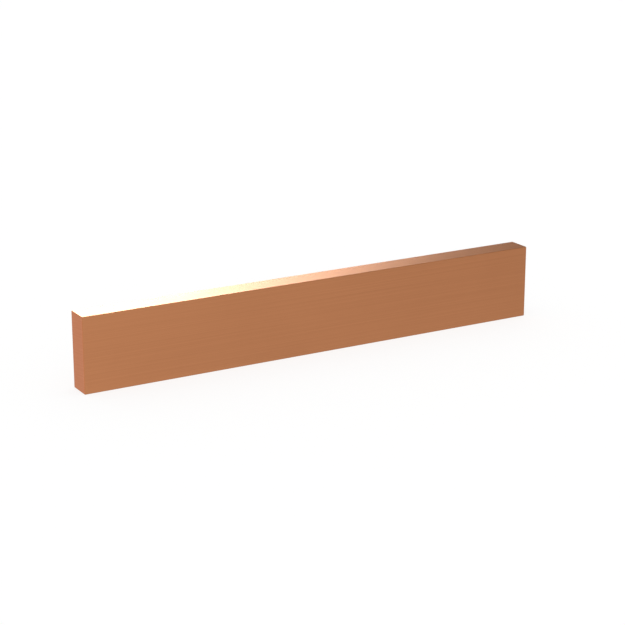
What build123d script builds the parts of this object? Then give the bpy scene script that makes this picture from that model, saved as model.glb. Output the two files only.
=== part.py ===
from build123d import *
import os

# A length of drawn copper flat bar, sawn square at both ends. Sizes are in millimetres.
# It stands on one narrow long side: X runs along it, Y through its thickness, Z up its width.
# The origin is the middle of the side that it stands on.
bar_length = 200.0
bar_width = 30.0
bar_thickness = 10.0

# The four long corners are as sharp as the drawing die leaves them.
corner_radius = 0.3

# The saw leaves a burr round each end face, and filing it off leaves this narrow bevel.
end_bevel = 0.15


# The constant cross-section that the die gives, standing on the ground.
def drawn_section():
    section = RectangleRounded(bar_thickness, bar_width, corner_radius)
    return Plane.YZ * Pos(0, bar_width / 2) * section


# The edges of the two sawn end faces.
def sawn_edges(bar):
    faces = bar.faces().sort_by(Axis.X)
    return faces[0].edges() + faces[-1].edges()


# The whole bar: the section run along its length, then both ends bevelled.
def drawn_bar():
    bar = extrude(drawn_section(), bar_length / 2, both=True)
    return chamfer(sawn_edges(bar), end_bevel)


os.makedirs("parts", exist_ok=True)
export_step(drawn_bar(), "parts/busbar.step")
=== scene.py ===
import math

import bpy
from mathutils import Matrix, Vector


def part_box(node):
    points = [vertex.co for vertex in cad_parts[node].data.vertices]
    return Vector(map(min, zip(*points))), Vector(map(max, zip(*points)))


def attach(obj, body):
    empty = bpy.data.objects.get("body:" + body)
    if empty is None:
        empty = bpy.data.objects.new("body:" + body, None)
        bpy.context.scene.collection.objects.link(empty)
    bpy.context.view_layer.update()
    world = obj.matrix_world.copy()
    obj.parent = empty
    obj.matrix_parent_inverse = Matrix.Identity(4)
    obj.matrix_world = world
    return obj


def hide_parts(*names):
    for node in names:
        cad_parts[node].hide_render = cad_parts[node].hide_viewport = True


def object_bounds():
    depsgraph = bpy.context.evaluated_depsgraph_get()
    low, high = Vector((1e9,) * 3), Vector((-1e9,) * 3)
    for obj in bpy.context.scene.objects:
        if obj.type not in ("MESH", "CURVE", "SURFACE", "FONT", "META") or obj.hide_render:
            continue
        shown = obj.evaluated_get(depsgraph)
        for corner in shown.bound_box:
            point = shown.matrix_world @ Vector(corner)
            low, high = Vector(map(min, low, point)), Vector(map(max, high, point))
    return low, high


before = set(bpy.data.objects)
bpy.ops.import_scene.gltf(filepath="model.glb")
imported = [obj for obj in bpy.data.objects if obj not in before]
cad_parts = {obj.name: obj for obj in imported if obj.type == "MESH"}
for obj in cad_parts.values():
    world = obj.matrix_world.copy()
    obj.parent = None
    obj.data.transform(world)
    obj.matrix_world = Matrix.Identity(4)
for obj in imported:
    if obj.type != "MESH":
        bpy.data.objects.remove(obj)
cadLow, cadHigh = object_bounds()
print("packed bar loaded, box in metres", [round(side, 4) for side in cadHigh - cadLow])

mm = 0.001


# A socket that takes part in Python expressions: each operator adds one Math node.
class Wire:
    def __init__(self, graph, socket):
        self.graph = graph
        self.socket = socket

    def math(self, operation, *values):
        return self.graph.node("ShaderNodeMath", {"operation": operation}, dict(enumerate(values)))

    def __add__(self, other):
        return self.math("ADD", self, other)

    def __radd__(self, other):
        return self.math("ADD", other, self)

    def __sub__(self, other):
        return self.math("SUBTRACT", self, other)

    def __rsub__(self, other):
        return self.math("SUBTRACT", other, self)

    def __mul__(self, other):
        return self.math("MULTIPLY", self, other)

    def __rmul__(self, other):
        return self.math("MULTIPLY", other, self)

    def __truediv__(self, other):
        return self.math("DIVIDE", self, other)

    def __rtruediv__(self, other):
        return self.math("DIVIDE", other, self)

    def __pow__(self, other):
        return self.math("POWER", self, other)

    def __rpow__(self, other):
        return self.math("POWER", other, self)

    def __abs__(self):
        return self.math("ABSOLUTE", self)

    def least(self, other):
        return self.math("MINIMUM", self, other)

    def most(self, other):
        return self.math("MAXIMUM", self, other)

    def sign(self):
        return self.math("SIGN", self)

    def tangent(self):
        return self.math("TANGENT", self)


# A node tree under construction, for a shader or for geometry.
class Graph:
    def __init__(self, tree):
        self.tree = tree
        tree.nodes.clear()

    # Settings are set first, then sockets get values or links, each by its name or its place.
    def node(self, kind, settings=None, sockets=None, out=None):
        made = self.tree.nodes.new(kind)
        for name, value in (settings or {}).items():
            setattr(made, name, value)
        for key, value in (sockets or {}).items():
            self.feed(self.pick(made.inputs, key), value)
        if not made.outputs:
            return made
        return Wire(self, self.pick(made.outputs, out or 0))

    def pick(self, sockets, key):
        shown = [socket for socket in sockets if socket.enabled]
        if isinstance(key, int):
            return shown[key]
        return next(socket for socket in shown if socket.name == key)

    def feed(self, socket, value):
        if isinstance(value, Wire):
            self.tree.links.new(value.socket, socket)
        else:
            socket.default_value = value

    def split(self, vector):
        parts = self.node("ShaderNodeSeparateXYZ", None, {"Vector": vector}).socket.node.outputs
        return [Wire(self, part) for part in parts]

    def join(self, x, y, z):
        return self.node("ShaderNodeCombineXYZ", None, {"X": x, "Y": y, "Z": z})

    def stretch(self, vector, amounts):
        return self.node("ShaderNodeVectorMath", {"operation": "MULTIPLY"}, {0: vector, 1: amounts})

    def blend(self, factor, first, second):
        sockets = {"Factor": factor, "A": first, "B": second}
        return self.node("ShaderNodeMix", {"data_type": "RGBA"}, sockets)

    # The plain number that lies between two others at a factor from 0 to 1.
    def between(self, factor, first, second):
        return factor.most(0.0).least(1.0) * (second - first) + first

    def noise(self, vector, seed, scale=1.0, detail=2.0, roughness=0.5):
        sockets = {"Vector": vector, "W": seed, "Scale": scale, "Detail": detail, "Roughness": roughness}
        return self.node("ShaderNodeTexNoise", {"noise_dimensions": "4D"}, sockets)


def opaque(colour):
    return (*colour, 1.0)


endMask = "sawnEnd"  # the attribute that is 1 on the sawn ends and 0 on the drawn sides

# The copper of the bar: drawn sides with faint lines along the length, sawn ends with the arcs
# that the blade leaves. A pair gives the two looks between which the surface varies.
copperFinish = {
    "drawnColours": ((0.450, 0.188, 0.085), (0.381, 0.158, 0.071)),
    "sawnColours": ((0.565, 0.185, 0.071), (0.499, 0.159, 0.059)),
    "edgeTint": (1.0, 1.0, 0.95),  # how coppery the metal stays at a grazing angle
    "drawnRoughness": (0.38, 0.48),
    "sawnRoughness": (0.36, 0.50),
    "cloudSize": 30 * mm,
    "lineSize": (500 * mm, 0.5 * mm),  # length and width of the die's lines
    "hairSize": (80 * mm, 0.12 * mm),  # and of the finer scratches between them
    "cloudSwing": 0.8,  # how strongly each of these moves the surface between its two looks
    "lineSwing": 0.6,
    "hairSwing": 1.8,
    "toothSwing": 2.0,
    "lineHeight": 0.004 * mm,
    "hairHeight": 0.003 * mm,
    "sawPitch": 0.5 * mm,
    "sawHeight": 0.012 * mm,
    "bladeRadius": 150 * mm,
    "bladeLean": 25 * mm,  # how far the blade's middle stood to one side of the bar
    "seed": 4.0,
}


def makeCopper(finish):
    material = bpy.data.materials.new("drawnCopper")
    material.use_nodes = True
    graph = Graph(material.node_tree)
    place = graph.node("ShaderNodeTexCoord", out="Object")
    along, through, up = graph.split(place)
    sawn = graph.node("ShaderNodeAttribute", {"attribute_name": endMask}, out="Fac")

    # Streaks that run along the bar.
    def streaks(size, seed):
        length, width = size
        stretched = graph.stretch(place, (1 / length, 1 / width, 1 / width))
        return graph.noise(stretched, finish["seed"] + seed, roughness=0.6)

    # How far a noise moves the surface from the middle of its two looks.
    def swing(noise, strength):
        return (noise - 0.5) * strength

    clouds = graph.noise(place, finish["seed"], scale=1 / finish["cloudSize"], detail=3.0)
    lines = streaks(finish["lineSize"], 1)
    hairs = streaks(finish["hairSize"], 2)
    drawnMix = (0.5 + swing(clouds, finish["cloudSwing"]) + swing(lines, finish["lineSwing"])
                + swing(hairs, finish["hairSwing"]))

    fromBlade = ((through + finish["bladeLean"]) ** 2 + (up + finish["bladeRadius"]) ** 2) ** 0.5
    sweep = graph.join(fromBlade / finish["sawPitch"], through / finish["cloudSize"], along.sign())
    teeth = graph.noise(sweep, finish["seed"] + 3, detail=3.0, roughness=0.6)
    sawnMix = 0.5 + swing(teeth, finish["toothSwing"])

    drawnColour = graph.blend(drawnMix, *map(opaque, finish["drawnColours"]))
    sawnColour = graph.blend(sawnMix, *map(opaque, finish["sawnColours"]))
    drawnShine = graph.between(drawnMix, *finish["drawnRoughness"])
    sawnShine = graph.between(sawnMix, *finish["sawnRoughness"])
    drawnHeight = lines * finish["lineHeight"] + hairs * finish["hairHeight"]
    sawnHeight = teeth * finish["sawHeight"]

    height = drawnHeight + (sawnHeight - drawnHeight) * sawn
    relief = graph.node("ShaderNodeBump", None, {"Strength": 1.0, "Distance": 1.0, "Height": height})
    surface = graph.node("ShaderNodeBsdfPrincipled", None, {
        "Base Color": graph.blend(sawn, drawnColour, sawnColour),
        "Metallic": 1.0,
        "Roughness": drawnShine + (sawnShine - drawnShine) * sawn,
        "Specular Tint": opaque(finish["edgeTint"]),
        "Normal": relief,
    })
    graph.node("ShaderNodeOutputMaterial", None, {"Surface": surface})
    print("copper finish ready")
    return material


# The bar's shape. Its length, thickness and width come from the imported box.
barShape = {
    "Corner Radius": 0.3 * mm,
    "End Bevel": 0.15 * mm,
    "Corner Rows": 3,  # rows of the grid from a side to the middle of its corner
    "Cells Along": 48,
    "Cells Through": 80,
    "Cells Up": 240,
    "Line Depth": 0.004 * mm,
    "Line Width": 0.8 * mm,
    "Line Length": 120 * mm,
    "Saw Depth": 0.010 * mm,
    "Saw Pitch": 0.9 * mm,
    "Blade Radius": copperFinish["bladeRadius"],
    "Blade Lean": copperFinish["bladeLean"],
    "Seed": 11.0,
}
halfCorner = math.radians(45)  # the part of a rounded corner that belongs to each of its sides
sharpEdge = math.radians(30)  # faces that meet at a larger angle are shaded apart


def openInputs(graph, defaults):
    tree = graph.tree
    kinds = {int: "NodeSocketInt", float: "NodeSocketFloat"}
    for name, value in defaults.items():
        kind = kinds.get(type(value), "NodeSocketMaterial")
        made = tree.interface.new_socket(name=name, in_out="INPUT", socket_type=kind)
        made.default_value = value
    tree.interface.new_socket(name="Bar", in_out="OUTPUT", socket_type="NodeSocketGeometry")
    outputs = tree.nodes.new("NodeGroupInput").outputs
    return {name: Wire(graph, outputs[name]) for name in defaults}


# Where a row of the grid goes, measured from the middle. The rows nearest a face share the
# corner's radius, on its arc, or the end's bevel. The others lie evenly between.
def rowPlace(place, cells, half, edgeRows, edgeSize, onArc):
    fromFace = cells / 2 - abs(place)
    inEdge = (fromFace / edgeRows).least(1.0)
    edge = 1 - ((1 - inEdge) * halfCorner).tangent() if onArc else inEdge
    inFlat = (fromFace - edgeRows).most(0.0) / (cells / 2 - edgeRows)
    return half - edgeSize * edge - (half - edgeSize) * inFlat


def makeBarTree(defaults):
    tree = bpy.data.node_groups.new("drawnBarShape", "GeometryNodeTree")
    graph = Graph(tree)
    given = openInputs(graph, defaults)
    halfLength, halfThickness, halfWidth = given["Length"] / 2, given["Thickness"] / 2, given["Width"] / 2
    radius, bevel = given["Corner Radius"], given["End Bevel"]

    # A block of unit cells, so that a point's place counts its rows.
    block = graph.node("GeometryNodeMeshCube", None, {
        "Size": graph.join(given["Cells Along"], given["Cells Through"], given["Cells Up"]),
        "Vertices X": given["Cells Along"] + 1,
        "Vertices Y": given["Cells Through"] + 1,
        "Vertices Z": given["Cells Up"] + 1,
    })
    x, y, z = graph.split(graph.node("GeometryNodeInputPosition"))
    atEnd = 1 - (given["Cells Along"] / 2 - abs(x)).least(1.0)
    masked = graph.node("GeometryNodeStoreNamedAttribute", {"data_type": "FLOAT", "domain": "POINT"},
                        {"Geometry": block, "Name": endMask, "Value": atEnd})

    # The rows go to their places, and the four long corners are rounded off.
    farX = rowPlace(x, given["Cells Along"], halfLength, 1.0, bevel, False)
    farY = rowPlace(y, given["Cells Through"], halfThickness, given["Corner Rows"], radius, True)
    farZ = rowPlace(z, given["Cells Up"], halfWidth, given["Corner Rows"], radius, True)
    centreY, centreZ = farY.least(halfThickness - radius), farZ.least(halfWidth - radius)
    outY, outZ = farY - centreY, farZ - centreZ
    tiny = 1e-9  # keeps the flat parts, which have no distance to their centre, from a division by 0
    pull = outY.most(outZ) / ((outY ** 2 + outZ ** 2) ** 0.5).most(tiny) * (1 - atEnd * bevel / radius)
    shaped = graph.node("GeometryNodeSetPosition", None, {
        "Geometry": masked,
        "Position": graph.join(
            x.sign() * farX,
            y.sign() * (centreY + outY * pull),
            z.sign() * (centreZ + outZ * pull) + halfWidth,
        ),
    })

    # Shallow lines, always cut into the copper: along the sides from the die, across the ends
    # from the blade.
    spotX, spotY, spotZ = graph.split(graph.node("GeometryNodeInputPosition"))
    dieLines = graph.join(
        spotX / given["Line Length"], spotY / given["Line Width"], spotZ / given["Line Width"])
    fromBlade = ((spotY + given["Blade Lean"]) ** 2 + (spotZ + given["Blade Radius"]) ** 2) ** 0.5
    sawArcs = graph.join(fromBlade / given["Saw Pitch"], 0.0, spotX.sign())
    drawn = graph.noise(dieLines, given["Seed"])
    sawn = graph.noise(sawArcs, given["Seed"] + 1, detail=1.0)
    ends = graph.node("GeometryNodeInputNamedAttribute", {"data_type": "FLOAT"}, {"Name": endMask})
    depth = drawn * given["Line Depth"] * (1 - ends) + sawn * given["Saw Depth"] * ends
    outward = graph.node("GeometryNodeInputNormal")
    inward = graph.node("ShaderNodeVectorMath", {"operation": "SCALE"},
                        {"Vector": outward, "Scale": 0 - depth})
    cut = graph.node("GeometryNodeSetPosition", None, {"Geometry": shaped, "Offset": inward})

    bend = graph.node("GeometryNodeInputMeshEdgeAngle", out="Unsigned Angle")
    gentle = graph.node("FunctionNodeCompare", {"data_type": "FLOAT", "operation": "LESS_THAN"},
                        {"A": bend, "B": sharpEdge})
    smooth = graph.node("GeometryNodeSetShadeSmooth", {"domain": "EDGE"},
                        {"Geometry": cut, "Shade Smooth": gentle})
    real = graph.node("GeometryNodeRealizeInstances", None, {"Geometry": smooth})
    finished = graph.node("GeometryNodeSetMaterial", None, {"Geometry": real, "Material": given["Finish"]})
    graph.node("NodeGroupOutput", None, {"Bar": finished})
    return tree


def makeBar():
    low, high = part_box("busbar")
    sizes = dict(zip(("Length", "Thickness", "Width"), high - low))
    settings = {**sizes, **barShape, "Finish": makeCopper(copperFinish)}
    tree = makeBarTree(settings)
    blank = bpy.data.objects.new("barBlank", bpy.data.meshes.new("barBlank"))
    bpy.context.scene.collection.objects.link(blank)
    modifier = blank.modifiers.new("drawnBarShape", "NODES")
    modifier.node_group = tree
    for socket in tree.interface.items_tree:
        if socket.in_out == "INPUT":
            modifier[socket.identifier] = settings[socket.name]
    depsgraph = bpy.context.evaluated_depsgraph_get()
    mesh = bpy.data.meshes.new_from_object(blank.evaluated_get(depsgraph), depsgraph=depsgraph)
    bpy.data.objects.remove(blank)
    mesh.name = "copperBar"
    bar = bpy.data.objects.new("copperBar", mesh)
    bpy.context.scene.collection.objects.link(bar)
    return bar


copperBar = makeBar()
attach(copperBar, "root")
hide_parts("busbar")
print("copper bar made,", len(copperBar.data.polygons), "faces")


studio = {
    "floorSize": 8.0,
    "floorColour": (0.95, 0.95, 0.95),
    "floorGlow": 0.8,  # share of plain white that the camera sees on the floor, over its shadow
    "roomColour": (1.0, 1.0, 1.0),
    "roomLevel": 1.08,  # how bright the room is where it lights the floor
    # The strip beside the back softbox softens the end of the highlight on the upper edge.
    "softboxes": {
        "backSoftbox": {"place": (0.25, 1.2, 0.55), "size": (0.6, 1.0), "power": 16.5},
        "backStrip": {"place": (0.65, 1.2, 0.55), "size": (0.2, 1.0), "power": 0.75},
        "frontSoftbox": {"place": (-0.4, -1.1, 0.35), "size": (0.7, 0.6), "power": 16.0},
    },
    # Boards that only the metal mirrors, as a photographer sets them round shiny stock. Level 0
    # is black and 1 is white.
    "boards": {
        "backBoard": {"place": (1.25, 1.12, 0.8), "size": (1.1, 2.0), "level": 0.0},
        "frontBoard": {"place": (1.1, -0.95, 0.5), "size": (1.4, 1.2), "level": 0.35},
    },
    "target": tuple((cadLow + cadHigh) / 2),
}


# 1 where a reflection or a clear part looks, the camera's share where the camera looks, and 0
# where light falls.
def seenRays(graph, cameraShare):
    path = graph.node("ShaderNodeLightPath").socket.node.outputs
    camera, glossy, clear = (
        Wire(graph, path[name]) for name in ("Is Camera Ray", "Is Glossy Ray", "Is Transmission Ray"))
    return (camera * cameraShare + glossy + clear).least(1.0)


# A flat rectangle about the origin, and the empty graph of its material.
def addPanel(name, width, depth):
    material = bpy.data.materials.new(name)
    material.use_nodes = True
    mesh = bpy.data.meshes.new(name)
    x, y = width / 2, depth / 2
    mesh.from_pydata([(-x, -y, 0), (x, -y, 0), (x, y, 0), (-x, y, 0)], [], [(0, 1, 2, 3)])
    mesh.materials.append(material)
    panel = bpy.data.objects.new(name, mesh)
    bpy.context.scene.collection.objects.link(panel)
    return panel, Graph(material.node_tree)


def addFloor():
    floor, graph = addPanel("floor", studio["floorSize"], studio["floorSize"])
    paint = graph.node("ShaderNodeBsdfDiffuse", None, {"Color": opaque(studio["floorColour"])})
    white = graph.node("ShaderNodeEmission", None, {"Strength": 1.0})
    glow = seenRays(graph, studio["floorGlow"])
    mixed = graph.node("ShaderNodeMixShader", None, {0: glow, 1: paint, 2: white})
    graph.node("ShaderNodeOutputMaterial", None, {"Surface": mixed})


# The room is plain white where it is seen, and a little brighter where it lights the floor.
def addRoom():
    world = bpy.data.worlds.new("paleRoom")
    world.use_nodes = True
    bpy.context.scene.world = world
    graph = Graph(world.node_tree)
    seen = seenRays(graph, 1.0)
    strength = seen + (1 - seen) * studio["roomLevel"]
    sockets = {"Color": opaque(studio["roomColour"]), "Strength": strength}
    light = graph.node("ShaderNodeBackground", None, sockets)
    graph.node("ShaderNodeOutputWorld", None, {"Surface": light})


# Turns a lamp or a board at its place to face the bar, out of the camera's sight.
def faceBar(thing, place):
    towardBar = Vector(studio["target"]) - Vector(place)
    thing.location = place
    thing.rotation_euler = towardBar.to_track_quat("-Z", "Y").to_euler()
    thing.visible_camera = False


def addSoftbox(name, settings):
    lamp = bpy.data.lights.new(name, "AREA")
    lamp.shape = "RECTANGLE"
    lamp.size, lamp.size_y = settings["size"]
    lamp.energy = settings["power"]
    softbox = bpy.data.objects.new(name, lamp)
    bpy.context.scene.collection.objects.link(softbox)
    faceBar(softbox, settings["place"])
    softbox.visible_diffuse = False  # the room alone lights the floor, so that it stays evenly white


def addBoard(name, settings):
    board, graph = addPanel(name, *settings["size"])
    grey = graph.node("ShaderNodeEmission", None, {"Strength": settings["level"]})
    graph.node("ShaderNodeOutputMaterial", None, {"Surface": grey})
    faceBar(board, settings["place"])
    board.visible_diffuse = board.visible_shadow = board.visible_transmission = False


addFloor()
addRoom()
for name, settings in studio["softboxes"].items():
    addSoftbox(name, settings)
for name, settings in studio["boards"].items():
    addBoard(name, settings)
print("studio lit")


viewpoint = {
    "azimuth": -30.0,  # degrees from the front, toward the left end
    "elevation": 16.95,
    "distance": 0.7107,
    "aim": (-0.0002, 0.0, 0.0153),
    "lens": 103.6,  # millimetres, like the sensor
    "sensor": 36.0,
}


def placeCamera():
    turn, rise = math.radians(viewpoint["azimuth"]), math.radians(viewpoint["elevation"])
    back = Vector((math.sin(turn) * math.cos(rise), -math.cos(turn) * math.cos(rise), math.sin(rise)))
    lens = bpy.data.cameras.new("photoCamera")
    lens.lens = viewpoint["lens"]
    lens.sensor_width = viewpoint["sensor"]
    camera = bpy.data.objects.new("photoCamera", lens)
    camera.location = Vector(viewpoint["aim"]) + back * viewpoint["distance"]
    camera.rotation_euler = (-back).to_track_quat("-Z", "Y").to_euler()
    bpy.context.scene.collection.objects.link(camera)
    bpy.context.scene.camera = camera


placeCamera()
bpy.context.scene.view_settings.view_transform = "Standard"
print("camera placed")
